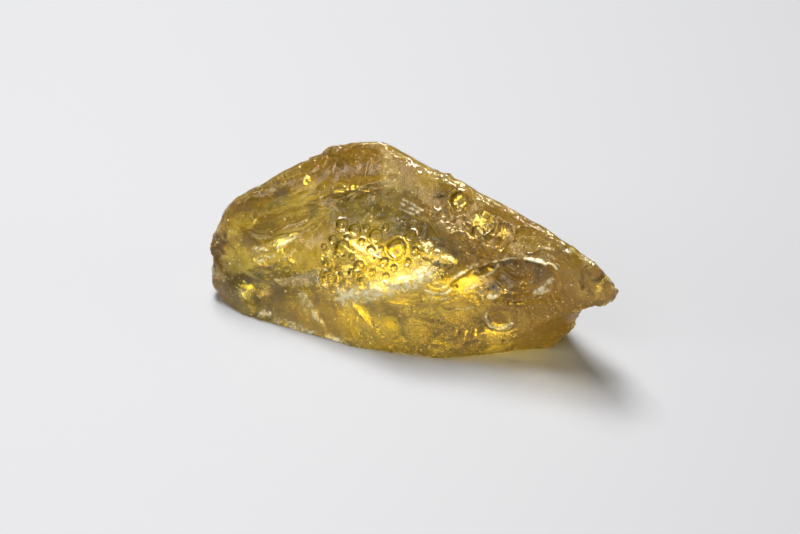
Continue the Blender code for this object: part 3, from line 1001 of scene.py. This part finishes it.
def carve_details(mesh):
    """Lays every ring, seam, step, ripple and frosted place on the lump."""
    relief = Relief(mesh)
    edge = np.empty(len(mesh.vertices))
    mesh.attributes["edge"].data.foreach_get("value", edge)
    patchy = np.clip(0.5 + 1.8 * relief.noise_at(np.arange(len(edge)), 0.9), 0, 1)
    relief.frost_and_highlights = 0.5 * gentle((edge - 0.03) / 0.08) * patchy
    for line, width, height in SEAMS:
        relief.seam(line, width, height)
    for line, width, height in GROOVES:
        relief.seam(line, width, -height)
    for line, low, drop, fade in STEPS:
        relief.step(line, low, drop, fade)
    chance = np.random.default_rng(FLOW_SEED)
    for place, reach, number, width, height in FLOWS:
        for _ in range(number):
            line = relief.flow(place, reach, chance)
            relief.seam(line, width, height * chance.uniform(0.5, 1.2))
            # Each flow line is also darkened, in the mask of painted shade and dark lines
            relief.paint_line(relief.shade_and_dark_lines, line, 0.8 * width, chance.uniform(0.2, 1.0), SOFT_BRUSH)
    for ripple in RIPPLES:
        relief.ripple(*ripple)
    for ring in RINGS.values():
        relief.ring(*ring)
    for dent in DENTS.values():
        relief.dent(*dent)
    # The pale places are painted glow and the dusky ones painted shade; the warm ones are the resin's own
    # tone
    spots = [(relief.calm, CALM), (relief.polish, POLISHED)]
    spots += [(relief.warm, WARM), (relief.shade_and_dark_lines, PAINTED_SHADE), (relief.pale, PAINTED_GLOW)]
    for kind, table in spots:
        for place, reach, strength in table:
            relief.paint(kind, place, reach, strength)
    # The frosted lines lay frost and painted highlights; the dusky bands lay painted shade
    bands = [(relief.frost_and_highlights, FROST_AND_HIGHLIGHTS, FRAYED_BRUSH)]
    bands += [(relief.warm, WARM_BANDS, SOFT_BRUSH), (relief.shade_and_dark_lines, PAINTED_SHADE_BANDS, SOFT_BRUSH)]
    for kind, table, brush in bands:
        for line, width, strength in table:
            relief.paint_line(kind, line, width, strength, brush)
    relief.grain(edge)
    relief.finish()


def clear_resin():
    """Golden see-through resin: plain transmission, refraction and absorption. Its colour also carries
    painted glow, painted shade, painted glints and painted highlights.
    """
    finish, tree, shader = new_finish("copal")
    place = new_node(tree, "ShaderNodeTexCoord", {}).outputs["Object"]

    def cloud(waves, detail, roughness=0.55):
        inputs = {"Vector": place, "Scale": waves, "Detail": detail, "Roughness": roughness}
        return new_node(tree, "ShaderNodeTexNoise", inputs).outputs["Fac"]

    def cells(waves):
        made = new_node(tree, "ShaderNodeTexVoronoi", {"Vector": place, "Scale": waves})
        parts = new_node(tree, "ShaderNodeSeparateColor", {"Color": made.outputs["Color"]})
        return made.outputs["Distance"], parts.outputs["Red"]

    def quality(name):
        return new_node(tree, "ShaderNodeAttribute", {}, attribute_name=name).outputs["Fac"]

    def ramp(value, low, high, start=0.0, end=1.0):
        inputs = {"Value": value, "From Min": low, "From Max": high, "To Min": start, "To Max": end}
        return new_node(tree, "ShaderNodeMapRange", inputs).outputs["Result"]

    def worked(kind, first, second):
        return new_node(tree, "ShaderNodeMath", {0: first, 1: second}, operation=kind).outputs["Value"]

    def times(first, second):
        return worked("MULTIPLY", first, second)

    def blended(share, first, second):
        inputs = {MIX_SHARE: share, MIX_FIRST: first, MIX_SECOND: second}
        return new_node(tree, "ShaderNodeMix", inputs, data_type="RGBA").outputs[MIX_RESULT]

    # Frost also carries painted highlights
    frost_and_highlights = quality("frost_and_highlights")
    # Pale is painted glow
    pale = quality("pale")
    warm = quality("warm")
    # Dusk is painted shade with dark lines, made denser where it is strong
    shade_and_dark_lines = quality("shade_and_dark_lines")
    shade_and_dark_lines = times(times(shade_and_dark_lines, ramp(shade_and_dark_lines, 0, 1, 2.0, 1.0)), SHADE_SHARE)
    rugged = ramp(quality("polish"), 0, 1, 1.0, 0.12)
    broad = cloud(BROAD_WAVES, 3)
    mottle = ramp(cloud(MOTTLE_WAVES, 3), 0.42, 0.62)
    grit = cloud(GRIT_WAVES, 4, 0.62)
    frost_and_highlight_cover = times(frost_and_highlights, ramp(grit, 0.36, 0.60, 0.30, 1.0))

    spread, chance = cells(SPECK_WAVES)
    speck = ramp(spread, 0.22, 0.12)
    big_specks = times(speck, worked("GREATER_THAN", chance, 0.72))
    dark_specks = times(speck, worked("LESS_THAN", chance, 0.06))
    spread, chance = cells(FINE_SPECK_WAVES)
    fine_speck = ramp(spread, 0.30, 0.16)
    fine_specks = times(fine_speck, worked("GREATER_THAN", chance, 0.45))
    fine_specks = times(fine_specks, ramp(broad, 0.35, 0.60, 0.25, 1.0))
    # The pale specks are painted glints
    glint_specks = times(worked("MAXIMUM", big_specks, times(fine_specks, 0.75)), rugged)

    colour = blended(ramp(broad, 0.38, 0.62), HONEY, LIGHT_HONEY)
    layers = {"warm": warm, "mottle": mottle, "grit": ramp(grit, 0.50, 0.66), "pale": pale, "shade_and_dark_lines": shade_and_dark_lines}
    layers |= {"glint_specks": glint_specks, "dark_specks": dark_specks, "frost_and_highlights": frost_and_highlight_cover}
    for name, cover in layers.items():
        tone, share = TONES[name]
        colour = blended(times(cover, share), colour, tone)
    cloudy = frost_and_highlight_cover
    # Painted glow, painted shade, painted glints, the dark specks and the warm tone cloud the resin too
    clouds = [(glint_specks, 0.7), (dark_specks, 0.9)]
    clouds += [(pale, GLOW_CLOUD), (warm, WARM_CLOUD), (shade_and_dark_lines, SHADE_CLOUD)]
    for cover, share in clouds:
        cloudy = worked("MAXIMUM", cloudy, times(cover, share))
    rough = times(ramp(grit, 0.40, 0.62, 0.05, 0.17), rugged)
    rough = worked("ADD", rough, times(frost_and_highlight_cover, 0.30))

    height = grit
    for relief, share in ((cloud(FINE_WAVES, 2), 0.35), (speck, 0.5), (fine_speck, 0.45)):
        height = worked("ADD", height, times(relief, share))
    strength = times(ramp(frost_and_highlights, 0, 1, 0.6, 1.0), rugged)
    inputs = {"Distance": GRIT_HEIGHT, "Strength": strength, "Height": height}
    bump = new_node(tree, "ShaderNodeBump", inputs)

    shader.inputs["IOR"].default_value = RESIN_IOR
    tree.links.new(colour, shader.inputs["Base Color"])
    tree.links.new(rough, shader.inputs["Roughness"])
    clear = ramp(cloudy, 0, 1, CLEARNESS, CLOUDED_CLEARNESS)
    tree.links.new(clear, shader.inputs["Transmission Weight"])
    tree.links.new(bump.outputs["Normal"], shader.inputs["Normal"])
    depth = new_node(tree, "ShaderNodeVolumeAbsorption", {"Color": RESIN_TINT, "Density": RESIN_DEPTH})
    tree.links.new(depth.outputs["Volume"], tree.nodes["Material Output"].inputs["Volume"])
    return finish


def two_tone(name, waves, detail, tones):
    """A finish of two tones in soft clouds, each tone with its place on the ramp."""
    finish, tree, shader = new_finish(name)
    place = new_node(tree, "ShaderNodeTexCoord", {}).outputs["Object"]
    inputs = {"Vector": place, "Scale": waves, "Detail": detail}
    cloud = new_node(tree, "ShaderNodeTexNoise", inputs)
    ramp = new_node(tree, "ShaderNodeValToRGB", {"Fac": cloud.outputs["Fac"]})
    for element, (position, tone) in zip(ramp.color_ramp.elements, tones):
        element.position = position
        element.color = tone
    tree.links.new(ramp.outputs["Color"], shader.inputs["Base Color"])
    return finish, shader


def reflector_finish():
    """The pale mirror finish of the films that stand in for internal reflections, uneven over its width.
    """
    finish, shader = two_tone("reflection_film", FILM_WAVES, 3, FILM_TONES)
    shader.inputs["Metallic"].default_value = 1.0
    shader.inputs["Roughness"].default_value = FILM_ROUGHNESS
    return finish


def dark_grain():
    """Old bark dust: dark reddish brown, dull and uneven."""
    finish, shader = two_tone("bark_dust", GRAIN_WAVES, 2, GRAIN_TONES)
    shader.inputs["Roughness"].default_value = GRAIN_ROUGHNESS
    return finish


def inner_film(name, relief, outline, depth):
    """A thin ragged mirror film inside the resin that stands in for an internal reflection, turned so
    that it shines in the overhead light.
    """
    middle = np.array(outline).mean(0)
    point, _ = relief.spot(tuple(middle))
    facing = relief.broad_facing(point)
    seen = bent(np.array(sight(*middle)), facing, 1 / RESIN_IOR)
    centre = point + seen * depth
    lit = point - np.array(OVERHEAD) / MM
    lit = bent(lit / np.linalg.norm(lit), facing, 1 / RESIN_IOR)
    tilt = -(seen + lit) / np.linalg.norm(seen + lit)
    shape = bmesh.new()
    corners = []
    for x, y in outline:
        start, _ = relief.spot((x, y))
        way = bent(np.array(sight(x, y)), facing, 1 / RESIN_IOR)
        start = start + way * (((centre - start) @ tilt) / (way @ tilt))
        corners.append(shape.verts.new(Vector(start) * MM))
    shape.faces.new(corners)
    bmesh.ops.triangulate(shape, faces=shape.faces[:])
    bmesh.ops.subdivide_edges(shape, edges=shape.edges[:], cuts=FILM_CUTS, use_grid_fill=True)
    for vert in shape.verts:
        place = vert.co / MM
        sway = 0.035 * noise.noise(place * 1.1) + 0.012 * noise.noise(place * 4)
        vert.co += (Vector(tilt) * sway + noise.noise_vector(place * 2.3) * FILM_BEND) * MM
        skin, outwards, _, _ = relief.tree.find_nearest(vert.co)
        cover = (skin - vert.co).dot(outwards)
        vert.co -= max(FILM_COVER - cover, 0) * outwards
    mesh = bpy.data.meshes.new(name)
    shape.to_mesh(mesh)
    shape.free()
    film = new_object(name, mesh)
    wall = film.modifiers.new("wall", "SOLIDIFY")
    wall.thickness = FILM_WALL
    solid = plain_mesh(film, name)
    film.modifiers.clear()
    film.data = solid
    shape = bmesh.new()
    shape.from_mesh(solid)
    bmesh.ops.recalc_face_normals(shape, faces=shape.faces[:])
    shape.to_mesh(solid)
    shape.free()
    return film


def round_outline(x, y, radius):
    """The uneven outline of a round mirror film, in the picture."""
    corners = []
    for k in range(DISC_CORNERS):
        turn = k / DISC_CORNERS * 2 * math.pi
        spot = Vector((x + 2 * math.cos(turn), y + 2 * math.sin(turn), 0.5))
        wide = radius * PICTURE_SCALE * (1 + DISC_UNEVENNESS * noise.noise(spot))
        corners.append((x + wide * math.cos(turn), y + wide * math.sin(turn)))
    return corners


def grain_tree():
    """Geometry Nodes: a small uneven grain on each point, sized by the point's own attribute."""
    tree = bpy.data.node_groups.new("grains", "GeometryNodeTree")
    sockets = {"Points": "Geometry", "Seed": "Int", "Flatness": "Float", "Finish": "Material"}
    for name, kind in sockets.items():
        tree.interface.new_socket(name, in_out="INPUT", socket_type="NodeSocket" + kind)
    tree.interface.new_socket("Grains", in_out="OUTPUT", socket_type="NodeSocketGeometry")
    given = tree.nodes.new("NodeGroupInput").outputs
    grain = new_node(tree, "GeometryNodeMeshIcoSphere", {"Radius": 1.0, "Subdivisions": 2})
    size = new_node(tree, "GeometryNodeInputNamedAttribute", {"Name": "size"}, data_type="FLOAT")
    flat = given["Flatness"]
    low = new_node(tree, "ShaderNodeCombineXYZ", {"X": flat, "Y": flat, "Z": flat})
    inputs = {"Min": low.outputs["Vector"], "Max": (1.0, 1.0, 1.0), "Seed": given["Seed"]}
    stretch = new_node(tree, "FunctionNodeRandomValue", inputs, data_type="FLOAT_VECTOR")
    inputs = {"Max": (6.28, 6.28, 6.28), "Seed": given["Seed"]}
    turn = new_node(tree, "FunctionNodeRandomValue", inputs, data_type="FLOAT_VECTOR")
    inputs = {0: stretch.outputs["Value"], "Scale": size.outputs["Attribute"]}
    scale = new_node(tree, "ShaderNodeVectorMath", inputs, operation="SCALE")
    points = new_node(tree, "GeometryNodeMeshToPoints", {"Mesh": given["Points"]})
    inputs = {"Points": points.outputs["Points"], "Instance": grain.outputs["Mesh"]}
    inputs |= {"Rotation": turn.outputs["Value"], "Scale": scale.outputs["Vector"]}
    placed = new_node(tree, "GeometryNodeInstanceOnPoints", inputs)
    real = new_node(tree, "GeometryNodeRealizeInstances", {"Geometry": placed.outputs["Instances"]})
    inputs = {"Geometry": real.outputs["Geometry"], "Material": given["Finish"]}
    coat = new_node(tree, "GeometryNodeSetMaterial", inputs)
    new_node(tree, "NodeGroupOutput", {"Grains": coat.outputs["Geometry"]})
    return tree


def grains(name, places, sizes, finish):
    """One piece of many small grains, at places in mm, made by the grain tree."""
    mesh = bpy.data.meshes.new(name)
    mesh.from_pydata([tuple(np.array(place) * MM) for place in places], [], [])
    size = mesh.attributes.new("size", "FLOAT", "POINT")
    size.data.foreach_set("value", np.array(sizes, np.float32) * MM)
    piece = new_object(name, mesh)
    maker = piece.modifiers.new("grains", "NODES")
    maker.node_group = grain_tree()
    sockets = maker.node_group.interface.items_tree
    given = {item.name: item.identifier for item in sockets if item.in_out == "INPUT"}
    maker[given["Seed"]] = GRAIN_SEED
    maker[given["Flatness"]] = GRAIN_FLATNESS
    maker[given["Finish"]] = finish
    made = plain_mesh(piece, name)
    piece.modifiers.clear()
    piece.data = made
    return piece


def studio():
    """The pale floor, the soft lights and the camera."""
    level = -FLOOR_GAP
    half = FLOOR_HALF
    corners = [(-half, -half, level), (half, -half, level), (half, half, level), (-half, half, level)]
    floor_mesh = bpy.data.meshes.new("floor")
    floor_mesh.from_pydata(corners, [], [(0, 1, 2, 3)])
    floor = new_object("floor", floor_mesh)
    pale, _, shader = new_finish("pale_floor")
    shader.inputs["Base Color"].default_value = FLOOR_GREY
    shader.inputs["Roughness"].default_value = FLOOR_ROUGHNESS
    floor.data.materials.append(pale)

    world = bpy.data.worlds.new("studio")
    world.use_nodes = True
    world.node_tree.nodes["Background"].inputs["Color"].default_value = AIR_TINT
    world.node_tree.nodes["Background"].inputs["Strength"].default_value = AIR_LIGHT
    bpy.context.scene.world = world
    for name, (place, size, power) in SOFTBOXES.items():
        lamp = bpy.data.lights.new(name, "AREA")
        lamp.size = size
        lamp.energy = power
        box = new_object(name, lamp)
        box.location = place
        box.rotation_euler = (Vector(LIT_PLACE) - Vector(place)).to_track_quat("-Z", "Y").to_euler()

    lens = bpy.data.cameras.new("camera")
    lens.sensor_width = SENSOR
    lens.lens = LENS
    lens.clip_start = 1 * MM
    camera = new_object("camera", lens)
    turn = Matrix([PICTURE_RIGHT, PICTURE_UP, TOWARDS_CAMERA]).transposed().to_4x4()
    camera.matrix_world = Matrix.Translation(EYE) @ turn
    bpy.context.scene.camera = camera
    bpy.context.scene.view_settings.view_transform = "Standard"


noise.seed_set(NOISE_SEED)
studio()
lump = new_object("raw_copal", fine_lump("copal_lump"))
carve_details(lump.data)
lump.data.materials.append(clear_resin())
lump.data.shade_smooth()
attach(lump, "root")
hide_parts("copal_lump")

# Mirror films inside the resin that stand in for internal reflections
reflection_film = reflector_finish()
surface = Relief(lump.data)
outlines = dict(INNER_REFLECTORS)
for name, ((x, y), radius, depth) in ROUND_REFLECTORS.items():
    outlines[name] = (round_outline(x, y, radius), depth)
for name, (outline, depth) in outlines.items():
    film = inner_film(name, surface, outline, depth)
    film.data.materials.append(reflection_film)
    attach(film, "root")

dark_places = []
for place, radius, depth in DARK_GRAINS:
    point, facing = surface.spot(place)
    dark_places.append(point + bent(np.array(sight(*place)), facing, 1 / RESIN_IOR) * depth)
dust = grains("bark_dust", dark_places, [radius for _, radius, _ in DARK_GRAINS], dark_grain())
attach(dust, "root")
